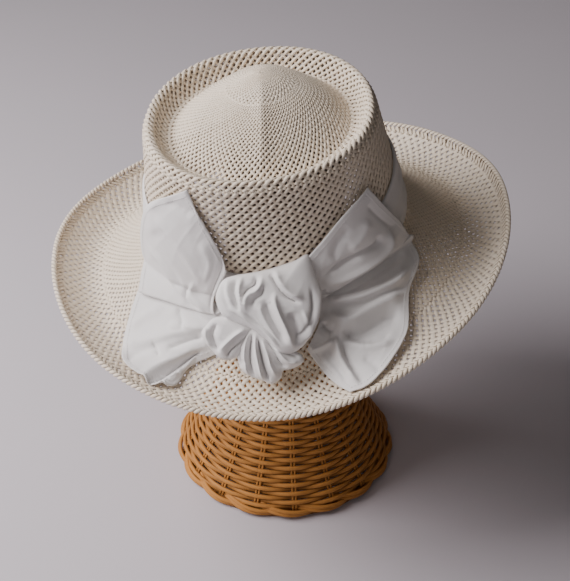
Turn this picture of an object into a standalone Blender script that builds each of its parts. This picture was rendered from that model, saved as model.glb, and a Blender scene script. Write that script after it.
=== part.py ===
"""A woven sun hat with a telescope crown, a cotton band and a knotted bow, on its wicker stand.

Metres, +Z up. The floor is z = 0 and the origin is under the middle of the whole thing.
The hat's own frame has its origin at the centre of the crown's base: +X to one end of the
oval, -Y to the side that carries the bow, +Z up the crown.
"""

import math

import bmesh
import bpy
from mathutils import Euler, Matrix, Vector
from mathutils.bvhtree import BVHTree

# Crown, outside sizes
CROWN_HALF_LENGTH = 0.102
CROWN_HALF_WIDTH = 0.087
RIDGE_HALF_LENGTH = 0.0835
RIDGE_HALF_WIDTH = 0.0735
RIDGE_HEIGHT = 0.1085
GROOVE_DEPTH = 0.013
DOME_RISE = 0.036
DOME_SET_BACK = 0.016
DOME_SET_RIGHT = 0.005
CROWN_LEAN = math.radians(3.5)
OVAL_POWER = 2.1
DOME_POWER = 1.75
STRAW_WALL = 0.002

# Brim
BRIM_WIDTH_AT_ENDS = 0.077
BRIM_WIDTH_AT_SIDES = 0.084
BRIM_FALL = 0.058
CURL_RISE = 0.020
EDGE_ROD = 0.0018
# Shares of the brim's width: where it stops falling, and where its edge starts to curl up.
FALL_ENDS = 0.8
CURL_STARTS = 0.6
CURL_POWER = 1.8
PIECE_GAP = 0.0003

# Band
# Where the band starts, as a share of the crown's wall
BAND_FROM = 0.06
BAND_HEIGHT = 0.055
BAND_FRONT_HEIGHT = 0.034
BAND_WALL = 0.0015
BAND_ROWS = 5
BAND_FOLD = 0.0008

# How the hat sits
HAT_HEIGHT = 0.2546
HAT_LEFT = 0.007
HAT_FORWARD = 0.0105
TILT_TO_LEFT = math.radians(-6.7)
TILT_TO_FRONT = math.radians(8.0)

# Bow
BOW_LIFT = 0.01
KNOT_REACH = 0.04
CLOTH_WALL = 0.0013
BOW_FACES_UP = math.radians(45)
KNOT_DEPTH = 0.0155
PLEATS_DEPTH = 0.0105
KNOT_SPACE = 0.0010
HAT_SPACE = BAND_WALL + BAND_FOLD + 4 * PIECE_GAP
HAT_SPACE_DEPTH = 0.012

# Stand
STAND_FOOT_RADIUS = 0.0942
STAND_SEAT = 0.0005
STAND_WALL = 0.003
BORDER_HEIGHT = 0.010
BORDER_DEPTH = 0.011
SCALLOP = 0.0012
SCALLOPS = 17
STAND_STEPS = 32
STAND_HEAD_FROM = 0.8
SEATING_STEPS = 12

AROUND = 44
FULL_TURN = 2 * math.pi

# How far apart the neighbours are that give the straw's direction at a point: an angle,
# and a share of the hat's profile, wide enough to round off the corner at the brim.
NEIGHBOUR_TURN = 0.01
NEIGHBOUR_SHARE = 0.08

# Rings of the crown's top, from the shoulder in to the tip.
# across: share of the ridge's half sizes. fall: share of the groove's depth.
# climb: share of the dome's rise above the groove.
TOP_RINGS = (
    # across, fall, climb
    (1.045, 0.50, 0.00),
    (1.000, 0.00, 0.00),
    (0.955, 0.08, 0.00),
    (0.890, 0.70, 0.00),
    (0.820, 1.00, 0.00),
    (0.750, 1.00, 0.10),
    (0.600, 1.00, 0.38),
    (0.420, 1.00, 0.65),
    (0.240, 1.00, 0.85),
    (0.090, 1.00, 0.965),
    (0.000, 1.00, 1.00),
)

# How far up the crown's wall each ring is, as a share of the wall.
WALL_RINGS = (0.00, 0.05, 0.35, 0.70)

# How far out across the brim each ring is, as a share of its width.
BRIM_RINGS = (1.00, 0.92, 0.82, 0.68, 0.48, 0.26, 0.05)

# The brim's shape by heading. fall and curl are shares of BRIM_FALL and CURL_RISE.
BRIM_HEADINGS = (
    # degrees, fall, curl
    (0, 0.50, 1.00),
    (45, 0.82, 0.60),
    (90, 1.00, 0.30),
    (135, 0.92, 0.60),
    (180, 0.645, 1.00),
    (225, 0.735, 0.70),
    (270, 0.79, 0.20),
    (315, 0.50, 0.50),
)

# Where the four cloth panels of the bow lie on the hat. Each row runs from a panel's
# upper edge to its lower edge, and the rows go from the knot outwards.
# heading: degrees round the crown. along: share of the way up the crown's wall, or out
# across the brim when negative. off: share of BOW_LIFT, straight out from the straw.
LEFT_UPPER_PANEL = (
    ((251, 0.30, 0.62), (248, 0.15, 0.84), (245, -0.02, 0.95), (245, -0.14, 0.60)),
    ((246, 0.56, 0.50), (239, 0.34, 0.94), (233, 0.10, 0.90), (235, -0.14, 0.70)),
    ((239, 0.80, 0.30), (227, 0.49, 0.88), (218, 0.16, 0.85), (223, -0.16, 0.80)),
    ((234, 0.97, 0.13), (210, 0.65, 0.70), (202, 0.19, 1.00), (211, -0.22, 0.90)),
)
LEFT_LOWER_PANEL = (
    ((245, -0.07, 0.30), (244, -0.24, 0.45), (244, -0.31, 0.40), (247, -0.37, 0.18)),
    ((231, -0.09, 0.30), (233, -0.30, 0.66), (237, -0.45, 0.90), (241, -0.55, 0.16)),
    ((219, -0.11, 0.22), (224, -0.39, 0.66), (231, -0.70, 1.00), (240, -0.82, 0.30)),
    ((207, -0.20, 0.25), (214, -0.47, 0.60), (223, -0.86, 0.60), (234, -0.93, 0.45)),
)
RIGHT_UPPER_PANEL = (
    ((281, 0.28, 0.56), (285, 0.18, 0.84), (286, 0.03, 0.98), (285, -0.09, 0.96)),
    ((290, 0.42, 0.46), (295, 0.26, 0.87), (297, 0.13, 1.11), (299, -0.03, 1.15)),
    ((304, 0.61, 0.46), (309, 0.39, 0.92), (312, 0.23, 1.39), (315, 0.08, 1.14)),
    ((320, 0.71, 0.42), (327, 0.41, 0.73), (332, 0.19, 0.94), (334, -0.07, 1.18)),
)
RIGHT_LOWER_PANEL = (
    (
        (286, -0.04, 0.35),
        (286, -0.10, 0.40),
        (285, -0.17, 0.32),
        (284, -0.23, 0.45),
        (281, -0.31, 0.35),
        (278, -0.39, 0.24),
    ),
    (
        (300, -0.02, 0.39),
        (299, -0.12, 0.52),
        (297, -0.23, 0.34),
        (292, -0.36, 0.80),
        (287, -0.47, 0.40),
        (281, -0.58, 0.19),
    ),
    (
        (317, -0.04, 0.45),
        (314, -0.17, 0.66),
        (307, -0.34, 0.40),
        (297, -0.59, 0.84),
        (290, -0.75, 0.45),
        (284, -0.80, 0.17),
    ),
    (
        (334, -0.12, 0.48),
        (328, -0.25, 0.80),
        (316, -0.38, 0.46),
        (305, -0.72, 0.66),
        (292, -0.95, 0.30),
        (286, -0.94, 0.16),
    ),
)

# The knot's two lumps, seen from the front: where the middle is, as heading and along,
# then the reach of the outline at evenly spaced headings from the right, anticlockwise,
# as shares of KNOT_REACH.
KNOT_PLACE = (267, -0.11)
KNOT_OUTLINE = (0.98, 1.03, 0.93, 0.78, 0.90, 1.00, 0.93, 0.85, 0.60, 0.50, 0.80, 0.93)
PLEATS_PLACE = (261, -0.33)
PLEATS_OUTLINE = (0.95, 0.75, 0.50, 0.38, 0.70, 1.00, 0.95, 0.70, 0.60, 0.58, 0.70, 0.93)
KNOT_FOLDS = 7
PLEATS_FOLDS = 9
FOLD_DEPTH = 0.07
LUMP_RAISE = 1.26
LUMP_COLUMNS = 36
LUMP_ROWS = 8
PANEL_STEPS = 3

# The stand's outline from the foot up, then in over the top.
# radius is a share of STAND_FOOT_RADIUS and height a share of the stand's own height.
STAND_OUTLINE = (
    (0.94, 0.0315),
    (0.87, 0.062),
    (0.775, 0.105),
    (0.67, 0.165),
    (0.58, 0.235),
    (0.52, 0.32),
    (0.49, 0.45),
    (0.48, 0.62),
    (0.48, 0.77),
    (0.46, 0.85),
    (0.37, 0.92),
    (0.25, 0.965),
    (0.12, 0.992),
    (0.00, 1.00),
)


def clear_scene():
    for old in list(bpy.data.objects):
        bpy.data.objects.remove(old)


def material(name, colour, roughness):
    made = bpy.data.materials.new(name)
    made.use_nodes = True
    shader = made.node_tree.nodes["Principled BSDF"]
    shader.inputs["Base Color"].default_value = (*colour, 1)
    shader.inputs["Roughness"].default_value = roughness
    shader.inputs["Metallic"].default_value = 0
    return made


def blend(start, end, share):
    return start + (end - start) * share


def by_heading(angle, column):
    """A column of BRIM_HEADINGS at any angle, on a smooth closed curve."""
    count = len(BRIM_HEADINGS)
    place = (angle % FULL_TURN) / FULL_TURN * count
    first = int(place)
    share = place - first
    before, here, after, beyond = (
        BRIM_HEADINGS[(first + step) % count][column] for step in (-1, 0, 1, 2)
    )
    return 0.5 * (
        2 * here
        + (after - before) * share
        + (2 * before - 5 * here + 4 * after - beyond) * share**2
        + (3 * here - before - 3 * after + beyond) * share**3
    )


def oval(angle, half_length, half_width, power=OVAL_POWER):
    """A point of a superellipse: power 2 is an ellipse, and less than 2 has soft corners on the axes."""
    x, y = math.cos(angle), math.sin(angle)
    scale = (abs(x) ** power + abs(y) ** power) ** (-1 / power)
    return Vector((half_length * x * scale, half_width * y * scale))


def lean(point):
    """Tips the crown towards its front, more the higher it is."""
    share = max(0.0, min(1.0, point.z / RIDGE_HEIGHT))
    tip = math.tan(CROWN_LEAN)
    return Vector((point.x, point.y - point.z * tip, point.z + point.y * tip * share**2))


def wall_point(angle, share):
    """On the outside of the crown's wall, from its base at 0 to the shoulder at 1."""
    across, fall, _ = TOP_RINGS[0]
    foot = oval(angle, CROWN_HALF_LENGTH, CROWN_HALF_WIDTH)
    shoulder = oval(angle, RIDGE_HALF_LENGTH * across, RIDGE_HALF_WIDTH * across)
    flat = foot.lerp(shoulder, share)
    return lean(Vector((*flat, share * (RIDGE_HEIGHT - GROOVE_DEPTH * fall))))


def top_point(angle, ring):
    """On one of the rings of the crown's top."""
    across, fall, climb = TOP_RINGS[ring]
    power = blend(OVAL_POWER, DOME_POWER, min(1.0, 2 * climb))
    flat = oval(angle, RIDGE_HALF_LENGTH * across, RIDGE_HALF_WIDTH * across, power)
    flat += Vector((DOME_SET_RIGHT, DOME_SET_BACK)) * climb
    return lean(Vector((*flat, RIDGE_HEIGHT - GROOVE_DEPTH * fall + DOME_RISE * climb)))


def brim_point(angle, share):
    """On the top of the brim, from the crown's base at 0 to the edge at 1."""
    foot = oval(angle, CROWN_HALF_LENGTH, CROWN_HALF_WIDTH)
    edge = oval(
        angle,
        CROWN_HALF_LENGTH + BRIM_WIDTH_AT_ENDS,
        CROWN_HALF_WIDTH + BRIM_WIDTH_AT_SIDES,
    )
    fall = BRIM_FALL * by_heading(angle, 1) * math.sin(math.pi / 2 * min(1.0, share / FALL_ENDS))
    raised = max(0.0, (share - CURL_STARTS) / (1 - CURL_STARTS))
    curl = CURL_RISE * by_heading(angle, 2) * raised**CURL_POWER
    return Vector((*foot.lerp(edge, share), curl - fall))


def hat_rings():
    """The hat body's rings, from the brim's edge to the tip of the dome, as functions of the angle."""
    rings = [lambda angle, share=share: brim_point(angle, share) for share in BRIM_RINGS]
    rings += [lambda angle, share=share: wall_point(angle, share) for share in WALL_RINGS[1:]]
    rings += [lambda angle, ring=ring: top_point(angle, ring) for ring in range(len(TOP_RINGS))]
    return rings


def grid_mesh(name, across, along, place, closed=False):
    """A grid primitive whose points go to place(column, row), both counted in steps. closed joins the last column to the first."""
    shape = bmesh.new()
    bmesh.ops.create_grid(shape, x_segments=across, y_segments=along, size=0.5)
    for point in shape.verts:
        column = round((point.co.x + 0.5) * across)
        row = round((point.co.y + 0.5) * along)
        point.co = place(column % across if closed else column, row)
    bmesh.ops.remove_doubles(shape, verts=shape.verts, dist=1e-6)
    bmesh.ops.dissolve_degenerate(shape, edges=shape.edges, dist=1e-7)
    mesh = bpy.data.meshes.new(name)
    shape.to_mesh(mesh)
    shape.free()
    mesh.shade_smooth()
    return mesh


def add_object(name, data, finish, collection, parent):
    made = bpy.data.objects.new(name, data)
    data.materials.append(finish)
    collection.objects.link(made)
    made.parent = parent
    return made


def add_wall(made, thickness, offset):
    wall = made.modifiers.new("Wall", "SOLIDIFY")
    wall.thickness = thickness
    wall.offset = offset
    wall.use_even_offset = True
    return made


def make_hat_body(finish, collection, hat):
    rings = hat_rings()

    def place(column, row):
        return rings[row](column / AROUND * FULL_TURN)

    mesh = grid_mesh("hat_body", AROUND, len(rings) - 1, place, closed=True)
    return add_wall(add_object("hat_body", mesh, finish, collection, hat), STRAW_WALL, -1)


def make_brim_edge(finish, collection, hat):
    """The rod of turned-over straw that finishes the brim, just outside its edge."""
    curve = bpy.data.curves.new("brim_edge", "CURVE")
    curve.dimensions = "3D"
    curve.bevel_depth = EDGE_ROD
    curve.bevel_resolution = 1
    points = 2 * AROUND
    line = curve.splines.new("POLY")
    line.points.add(points - 1)
    line.use_cyclic_u = True
    for index, point in enumerate(line.points):
        angle = index / points * FULL_TURN
        edge, inner = brim_point(angle, 1.0), brim_point(angle, BRIM_RINGS[1])
        out = (edge - inner).normalized()
        point.co = (*(edge + out * (EDGE_ROD + 2 * PIECE_GAP)), 1)
    return add_object("brim_edge", curve, finish, collection, hat)


def band_height(angle):
    """The band is lower where the knot pulls it down at the front."""
    front = 0.5 - 0.5 * math.sin(angle)
    return blend(BAND_HEIGHT, BAND_FRONT_HEIGHT, front**3)


def make_hat_band(finish, collection, hat):
    wall_height = RIDGE_HEIGHT - GROOVE_DEPTH * TOP_RINGS[0][1]

    def place(column, row):
        angle = column / AROUND * FULL_TURN
        share = blend(BAND_FROM, band_height(angle) / wall_height, row / BAND_ROWS)
        out = Vector((*oval(angle, 1, 1), 0)).normalized()
        ripple = BAND_FOLD * math.sin(FULL_TURN * row / BAND_ROWS) ** 2
        return wall_point(angle, share) + out * (2 * PIECE_GAP + ripple)

    mesh = grid_mesh("hat_band", AROUND, BAND_ROWS, place, closed=True)
    return add_wall(add_object("hat_band", mesh, finish, collection, hat), BAND_WALL, 1)


def curve_point(points, place):
    """A point on the smooth line through points, counted in whole points from its start."""
    first = min(int(place), len(points) - 2)
    share = place - first
    here, after = Vector(points[first]), Vector(points[first + 1])
    before = Vector(points[first - 1]) if first else 2 * here - after
    beyond = Vector(points[first + 2]) if first + 2 < len(points) else 2 * after - here
    return 0.5 * (
        2 * here
        + (after - before) * share
        + (2 * before - 5 * here + 4 * after - beyond) * share**2
        + (3 * here - before - 3 * after + beyond) * share**3
    )


def hat_point(angle, along):
    return wall_point(angle, along) if along >= 0 else brim_point(angle, -along)


def off_hat(heading, along, distance):
    """A point at a distance straight out from the straw, with the corner at the brim rounded off."""
    angle = math.radians(heading)
    upper = min(1, along + NEIGHBOUR_SHARE)
    lower = max(-1, along - NEIGHBOUR_SHARE)
    sideways = hat_point(angle + NEIGHBOUR_TURN, along) - hat_point(angle - NEIGHBOUR_TURN, along)
    upwards = hat_point(angle, upper) - hat_point(angle, lower)
    return hat_point(angle, along) + sideways.cross(upwards).normalized() * distance


def make_panel(name, table, finish, collection, hat, cutters):
    """One panel of the bow as a sheet of cloth, cut back where the knot's lumps are."""

    def place(column, row):
        line = [curve_point(points, column / PANEL_STEPS) for points in table]
        heading, along, off = curve_point(line, row / PANEL_STEPS)
        return off_hat(heading, along, off * BOW_LIFT)

    across = PANEL_STEPS * (len(table[0]) - 1)
    along = PANEL_STEPS * (len(table) - 1)
    panel = add_object(name, grid_mesh(name, across, along, place), finish, collection, hat)
    add_wall(panel, CLOTH_WALL, 0)
    for cutter in cutters:
        cut_with(panel, cutter)
    return panel


def cut_with(made, cutter):
    cut = made.modifiers.new("Cut", "BOOLEAN")
    cut.operation = "DIFFERENCE"
    cut.solver = "EXACT"
    cut.object = cutter


def make_lump(name, middle, outline, depth, folds, spare, finish, collection, hat):
    """A gathered lump of cloth as a closed body. spare grows it, for the space that it needs."""
    turn = Matrix.Rotation(BOW_FACES_UP, 3, "X")
    closed = [(reach,) for reach in outline]

    def place(column, row):
        heading = column / LUMP_COLUMNS
        position = heading * len(outline)
        step = int(position)
        ring = [closed[(step + offset) % len(closed)] for offset in (-1, 0, 1, 2)]
        reach = curve_point([Vector((*value, 0, 0)) for value in ring], 1 + position - step).x
        tilt = math.pi * (row / LUMP_ROWS - 0.5)
        fold = 1 + FOLD_DEPTH * math.cos(folds * heading * FULL_TURN) * math.cos(tilt)
        radius = (reach * KNOT_REACH * fold + spare) * math.cos(tilt)
        rise = (depth * fold + spare) * math.sin(tilt)
        angle = heading * FULL_TURN
        return middle + turn @ Vector((radius * math.cos(angle), radius * math.sin(angle), rise))

    mesh = grid_mesh(name, LUMP_COLUMNS, LUMP_ROWS, place, closed=True)
    return add_object(name, mesh, finish, collection, hat)


def make_hat_space(finish, collection, hat):
    """The room that the hat and its band take up, so that nothing of the bow is in it."""
    rings = hat_rings()[: len(BRIM_RINGS) + len(WALL_RINGS) - 1]

    def place(column, row):
        return rings[row](column / AROUND * FULL_TURN)

    mesh = grid_mesh("hat_space", AROUND, len(rings) - 1, place, closed=True)
    space = add_object("hat_space", mesh, finish, collection, hat)
    out = space.modifiers.new("Out", "DISPLACE")
    out.mid_level = 0
    out.strength = HAT_SPACE
    return add_wall(space, HAT_SPACE_DEPTH, -1)


def make_bow(finish, collection, cutters, hat):
    middle = off_hat(*KNOT_PLACE, LUMP_RAISE * KNOT_DEPTH)
    knot = (middle, KNOT_OUTLINE, KNOT_DEPTH, KNOT_FOLDS)
    middle = off_hat(*PLEATS_PLACE, LUMP_RAISE * PLEATS_DEPTH)
    pleats = (middle, PLEATS_OUTLINE, PLEATS_DEPTH, PLEATS_FOLDS)
    hat_space = make_hat_space(finish, cutters, hat)
    above = make_lump("bow_knot", *knot, 0, finish, collection, hat)
    below = make_lump("bow_pleats", *pleats, 0, finish, collection, hat)
    spaces = [
        make_lump("knot_space", *knot, KNOT_SPACE, finish, cutters, hat),
        make_lump("pleats_space", *pleats, KNOT_SPACE, finish, cutters, hat),
    ]
    cut_with(above, hat_space)
    cut_with(below, hat_space)
    cut_with(below, spaces[0])
    panels = (
        ("bow_left_upper", LEFT_UPPER_PANEL),
        ("bow_left_lower", LEFT_LOWER_PANEL),
        ("bow_right_upper", RIGHT_UPPER_PANEL),
        ("bow_right_lower", RIGHT_LOWER_PANEL),
    )
    for name, table in panels:
        make_panel(name, table, finish, collection, hat, spaces)


def stand_height(hat_body):
    """How tall the stand is when its head just carries the inside of the crown."""
    bpy.context.view_layer.update()
    shaped = hat_body.evaluated_get(bpy.context.evaluated_depsgraph_get())
    mesh = shaped.to_mesh()
    points = [hat_body.matrix_world @ point.co for point in mesh.vertices]
    straw = BVHTree.FromPolygons(points, [tuple(face.vertices) for face in mesh.polygons])
    shaped.to_mesh_clear()
    tall = HAT_HEIGHT
    for _ in range(SEATING_STEPS):
        gaps = []
        for radius, height in STAND_OUTLINE:
            if height < STAND_HEAD_FROM:
                continue
            for step in range(STAND_STEPS):
                turn = Matrix.Rotation(step / STAND_STEPS * FULL_TURN, 3, "Z")
                point = turn @ Vector((radius * STAND_FOOT_RADIUS, 0, height * tall))
                gaps.append(straw.find_nearest(point)[3])
        tall += min(gaps) - STAND_WALL / 2 - STAND_SEAT
    return tall


def make_stand(finish, collection, root, tall):
    """The hollow woven stand: a line turned round the Z axis."""
    shape = bmesh.new()
    corners = [
        shape.verts.new((radius * STAND_FOOT_RADIUS, 0, height * tall))
        for radius, height in STAND_OUTLINE
    ]
    for lower, upper in zip(corners, corners[1:]):
        shape.edges.new((lower, upper))
    mesh = bpy.data.meshes.new("stand")
    shape.to_mesh(mesh)
    shape.free()
    stand = add_object("stand", mesh, finish, collection, root)
    turn = stand.modifiers.new("Turn", "SCREW")
    turn.steps = STAND_STEPS
    turn.render_steps = STAND_STEPS
    turn.use_merge_vertices = True
    turn.merge_threshold = 0.00001
    turn.use_smooth_shade = True
    turn.use_normal_calculate = True
    return add_wall(stand, STAND_WALL, 0)


def make_stand_border(finish, collection, root):
    """The braided ring that the stand rests on, scalloped on the outside and flat below."""
    profile = (
        # in from the outside, up: shares of BORDER_DEPTH and BORDER_HEIGHT
        (0.10, 0.00),
        (0.00, 0.35),
        (0.08, 0.75),
        (0.35, 1.00),
        (0.80, 1.00),
        (1.00, 0.80),
        (1.00, 0.00),
    )
    columns = 4 * SCALLOPS

    def place(column, row):
        inward, up = profile[row % len(profile)]
        angle = column / columns * FULL_TURN
        lobe = SCALLOP * (0.5 - 0.5 * math.cos(SCALLOPS * angle)) * (1 - inward)
        radius = STAND_FOOT_RADIUS - BORDER_DEPTH * inward - lobe
        return Vector((radius * math.cos(angle), radius * math.sin(angle), BORDER_HEIGHT * up))

    mesh = grid_mesh("stand_border", columns, len(profile), place, closed=True)
    return add_object("stand_border", mesh, finish, collection, root)


def centre_on_origin(collection, root):
    """Moves the root so that the middle of everything's bounding box is over the origin."""
    bpy.context.view_layer.update()
    graph = bpy.context.evaluated_depsgraph_get()
    corners = []
    for made in collection.objects:
        if made.type == "EMPTY":
            continue
        shaped = made.evaluated_get(graph)
        mesh = shaped.to_mesh()
        corners += [made.matrix_world @ point.co for point in mesh.vertices]
        shaped.to_mesh_clear()
    for axis in (0, 1):
        line = [corner[axis] for corner in corners]
        root.location[axis] = -(min(line) + max(line)) / 2
    root.location.z = -min(corner.z for corner in corners)


def build():
    clear_scene()
    parts = bpy.data.collections.new("sun_hat")
    cutters = bpy.data.collections.new("cutters")
    bpy.context.scene.collection.children.link(parts)
    bpy.context.scene.collection.children.link(cutters)
    straw = material("woven_straw", (0.78, 0.72, 0.62), 0.7)
    cotton = material("white_cotton", (0.85, 0.85, 0.86), 0.85)
    cane = material("honey_cane", (0.56, 0.31, 0.12), 0.55)
    root = bpy.data.objects.new("root", None)
    hat = bpy.data.objects.new("hat", None)
    parts.objects.link(root)
    parts.objects.link(hat)
    hat.parent = root
    hat.location = (-HAT_LEFT, -HAT_FORWARD, HAT_HEIGHT)
    hat.rotation_euler = Euler((TILT_TO_FRONT, TILT_TO_LEFT, 0), "XYZ")
    hat_body = make_hat_body(straw, parts, hat)
    make_brim_edge(straw, parts, hat)
    make_hat_band(cotton, parts, hat)
    make_bow(cotton, parts, cutters, hat)
    make_stand(cane, parts, root, stand_height(hat_body))
    make_stand_border(cane, parts, root)
    for cutter in cutters.objects:
        cutter.hide_render = True
        cutter.display_type = "WIRE"
    centre_on_origin(parts, root)


build()
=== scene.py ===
"""The woven sun hat with its cotton bow on a wicker stand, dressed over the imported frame.

Metres, +Z up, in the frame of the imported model. The hat has a frame of its own: its origin is
the middle of the crown's base, +X is to the right in the picture, and -Y is the side that
carries the bow. The points of folds and of the knot's outlines are pixels of the picture.
"""

import math

import bpy
import numpy as np
from mathutils import Euler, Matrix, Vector


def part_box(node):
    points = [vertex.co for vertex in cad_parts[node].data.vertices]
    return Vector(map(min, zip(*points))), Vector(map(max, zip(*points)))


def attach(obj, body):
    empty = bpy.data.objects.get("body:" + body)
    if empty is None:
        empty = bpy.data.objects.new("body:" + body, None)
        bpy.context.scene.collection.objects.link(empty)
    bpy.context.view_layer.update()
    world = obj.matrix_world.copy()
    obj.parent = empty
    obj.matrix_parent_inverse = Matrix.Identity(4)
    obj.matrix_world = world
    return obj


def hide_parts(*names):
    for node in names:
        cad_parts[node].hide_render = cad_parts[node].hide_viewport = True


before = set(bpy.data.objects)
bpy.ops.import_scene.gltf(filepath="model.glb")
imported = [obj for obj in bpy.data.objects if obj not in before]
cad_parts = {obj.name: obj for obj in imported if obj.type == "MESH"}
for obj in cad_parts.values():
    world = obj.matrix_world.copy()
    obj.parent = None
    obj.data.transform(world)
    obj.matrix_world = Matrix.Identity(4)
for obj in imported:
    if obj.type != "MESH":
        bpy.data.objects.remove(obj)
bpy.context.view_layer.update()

FULL_TURN = 2 * math.pi
MM = 0.001

# The picture and its camera
PICTURE_WIDTH = 570
PICTURE_HEIGHT = 581
FOCAL_PIXELS = 1500
CAMERA_LOOKS_DOWN = math.radians(37)
CAMERA_DISTANCE = 1.2398
CAMERA_AIMS_AT = 0.1721
SENSOR = 36

# The hat's shape, as it was built
CROWN_HALF_LENGTH = 0.102
CROWN_HALF_WIDTH = 0.087
RIDGE_HALF_LENGTH = 0.0835
RIDGE_HALF_WIDTH = 0.0735
RIDGE_HEIGHT = 0.1085
GROOVE_DEPTH = 0.013
DOME_RISE = 0.036
DOME_SET_BACK = 0.016
DOME_SET_RIGHT = 0.005
CROWN_LEAN = math.radians(3.5)
OVAL_POWER = 2.1
DOME_POWER = 1.75
STRAW_WALL = 0.002
BRIM_WIDTH_AT_ENDS = 0.077
BRIM_WIDTH_AT_SIDES = 0.084
BRIM_FALL = 0.058
CURL_RISE = 0.020
FALL_ENDS = 0.8
CURL_STARTS = 0.6
CURL_POWER = 1.8
EDGE_ROD = 0.0018
EDGE_CLEAR = 0.0006
TOP_RINGS = (
    # across, fall, climb: shares of the ridge's half sizes, the groove's depth, the dome's rise
    (1.045, 0.50, 0.00),
    (1.000, 0.00, 0.00),
    (0.955, 0.08, 0.00),
    (0.890, 0.70, 0.00),
    (0.820, 1.00, 0.00),
    (0.750, 1.00, 0.10),
    (0.600, 1.00, 0.38),
    (0.420, 1.00, 0.65),
    (0.240, 1.00, 0.85),
    (0.090, 1.00, 0.965),
    (0.000, 1.00, 1.00),
)
BRIM_HEADINGS = (
    # fall, curl: shares of BRIM_FALL and CURL_RISE, every 45 degrees from the right
    (0.50, 1.00),
    (0.82, 0.60),
    (1.00, 0.30),
    (0.92, 0.60),
    (0.645, 1.00),
    (0.735, 0.70),
    (0.79, 0.20),
    (0.50, 0.50),
)

# Where the hat stands: the middle of the stand's foot, then the hat's own origin and turn
FOOT_LOW, FOOT_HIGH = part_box("stand_border")
AXIS = np.array(((FOOT_LOW.x + FOOT_HIGH.x) / 2, (FOOT_LOW.y + FOOT_HIGH.y) / 2, 0))
HAT_ORIGIN = AXIS + np.array((-0.007, -0.0105, 0.2546))
HAT_TURN = np.array(Euler((math.radians(8.0), math.radians(-6.7), 0), "XYZ").to_matrix())

# What the woven straw adds to that shape: a crease down the front of the dome, a peak on it,
# and a rounded corner between crown and brim
DOME_CREASE = 3.6 * MM
CREASE_WIDTH = 6.5 * MM
CREASE_ROUND = 2 * MM
DOME_PEAK = 1.6 * MM
PEAK_STARTS = 0.8
CORNER_ROUND = 0.07
# The brim's edge is station -1; directions are taken from no further out than this
PAST_THE_EDGE = -1.05

rng = np.random.default_rng(11)


def unit(vectors):
    """The same directions with length 1."""
    return vectors / np.maximum(np.linalg.norm(vectors, axis=-1, keepdims=True), 1e-12)


def smooth_line(values, place, closed=False):
    """Points of the smooth line through values, counted in whole values from its start."""
    values = np.asarray(values, float)
    place = np.asarray(place, float)
    count = len(values)
    if closed:
        first = np.floor(place).astype(int)
        near = [values[(first + step) % count] for step in (-1, 0, 1, 2)]
    else:
        ends = (2 * values[0] - values[1], 2 * values[-1] - values[-2])
        longer = np.concatenate(([ends[0]], values, [ends[1]]))
        first = np.clip(np.floor(place).astype(int), 0, count - 2)
        near = [longer[first + step] for step in range(4)]
    share = (place - first).reshape(place.shape + (1,) * (values.ndim - 1))
    before, here, after, beyond = near
    return 0.5 * (
        2 * here
        + (after - before) * share
        + (2 * before - 5 * here + 4 * after - beyond) * share**2
        + (3 * here - before - 3 * after + beyond) * share**3
    )


def lengths(points, axis):
    """How far each point of a grid is along its lines in the direction of that axis."""
    steps = np.linalg.norm(np.diff(points, axis=axis), axis=-1)
    return np.insert(np.cumsum(steps, axis), 0, 0, axis)


# The camera, which also says where a pixel of the picture is


def camera_frame():
    """The camera's place and its right, up and forward directions."""
    down = CAMERA_LOOKS_DOWN
    forward = np.array((0, math.cos(down), -math.sin(down)))
    up = np.array((0, math.sin(down), math.cos(down)))
    place = AXIS + np.array((0, 0, CAMERA_AIMS_AT)) - forward * CAMERA_DISTANCE
    return place, np.array((1.0, 0, 0)), up, forward


CAMERA_PLACE, RIGHT, UP, FORWARD = camera_frame()


def in_picture(points):
    """Where points of the world are in the picture, in pixels."""
    away = points - CAMERA_PLACE
    depth = away @ FORWARD
    across = PICTURE_WIDTH / 2 + FOCAL_PIXELS * (away @ RIGHT) / depth
    down = PICTURE_HEIGHT / 2 - FOCAL_PIXELS * (away @ UP) / depth
    return np.stack((across, down), -1)


def on_plane(pixels, middle, facing):
    """The points of a plane that the camera sees at those pixels."""
    across = (pixels[..., 0] - PICTURE_WIDTH / 2)[..., None] * RIGHT
    down = (PICTURE_HEIGHT / 2 - pixels[..., 1])[..., None] * UP
    rays = FORWARD * FOCAL_PIXELS + across + down
    reach = (middle - CAMERA_PLACE) @ facing / (rays @ facing)
    return CAMERA_PLACE + rays * reach[..., None]


def add_camera():
    data = bpy.data.cameras.new("camera")
    data.sensor_width = SENSOR
    data.lens = SENSOR * FOCAL_PIXELS / PICTURE_HEIGHT
    made = bpy.data.objects.new("camera", data)
    made.location = CAMERA_PLACE
    made.rotation_euler = (math.pi / 2 - CAMERA_LOOKS_DOWN, 0, 0)
    bpy.context.scene.collection.objects.link(made)
    bpy.context.scene.camera = made


# The hat's surface


def oval(angle, half_length, half_width, power=OVAL_POWER):
    x, y = np.cos(angle), np.sin(angle)
    scale = (np.abs(x) ** power + np.abs(y) ** power) ** (-1 / power)
    return half_length * x * scale, half_width * y * scale


def blend(start, end, share):
    return start + (end - start) * share


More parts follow.
